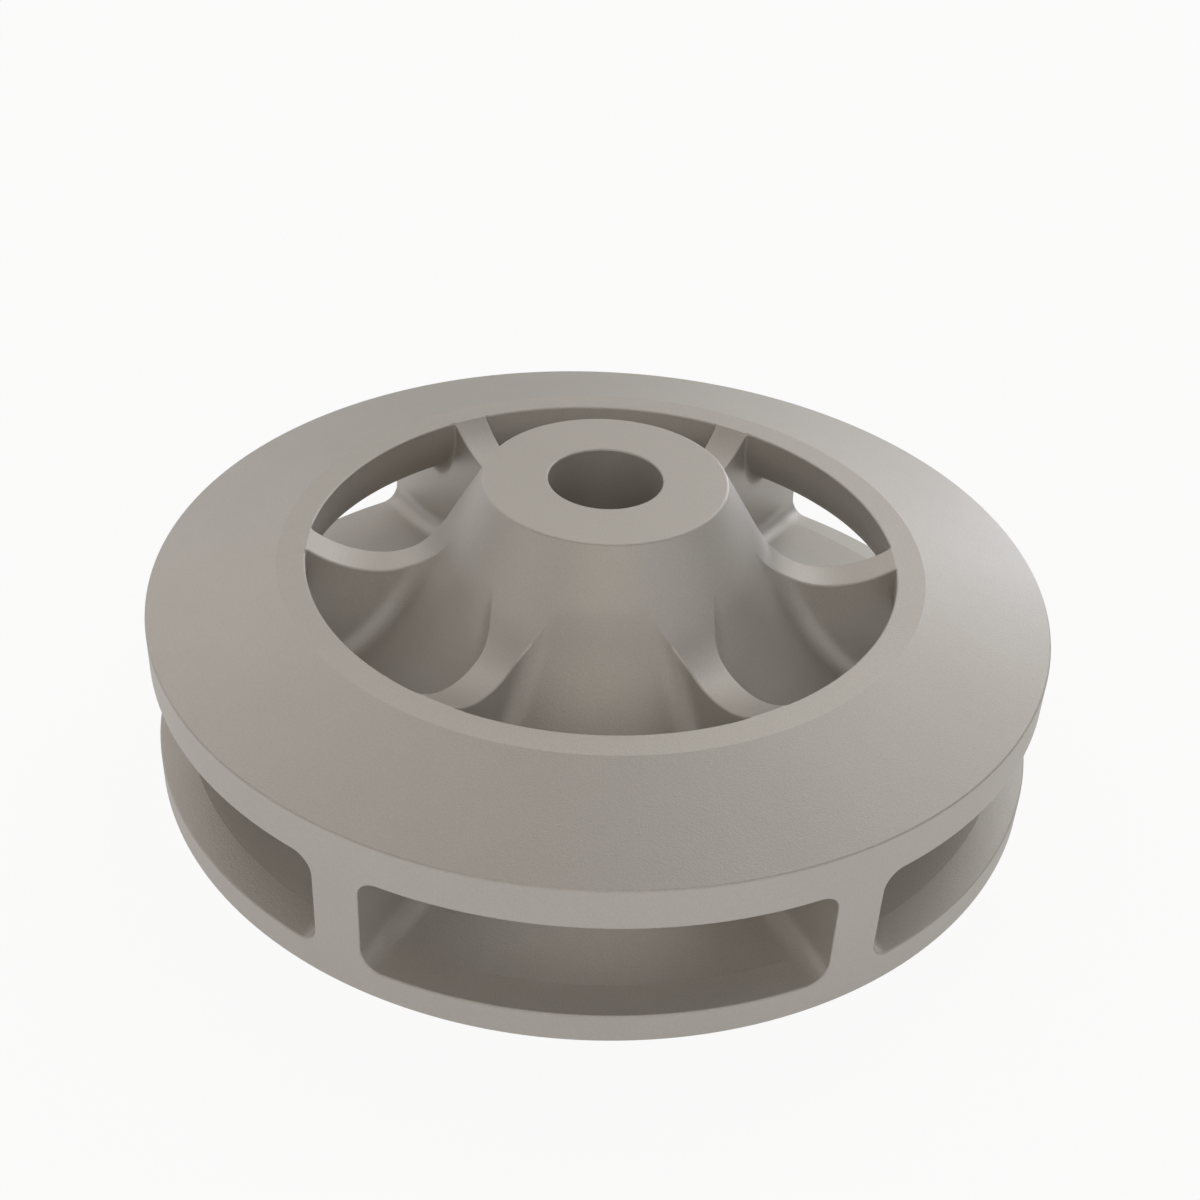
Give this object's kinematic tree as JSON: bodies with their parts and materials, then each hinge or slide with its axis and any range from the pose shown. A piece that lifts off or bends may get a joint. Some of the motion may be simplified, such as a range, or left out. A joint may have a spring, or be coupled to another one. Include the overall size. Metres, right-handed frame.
{
  "type": "pump impeller",
  "caption": "Closed radial pump impeller: flared hub with a plain bore, back plate, straight radial vanes and a conical shroud round a wide suction eye, cast in one piece.",
  "frame": {"origin": "centre of the shaft bore on the back plate's rear face", "axes": "+Z along the bore, from the back face to the hub top and the suction eye; +X along the middle of one vane"},
  "size_m": [0.16, 0.16, 0.0522],
  "materials": {
    "cast_steel": "investment-cast stainless steel, fine bead-blasted matt"
  },
  "bodies": {
    "root": {"impeller": "cast_steel"}
  },
  "joints": []
}
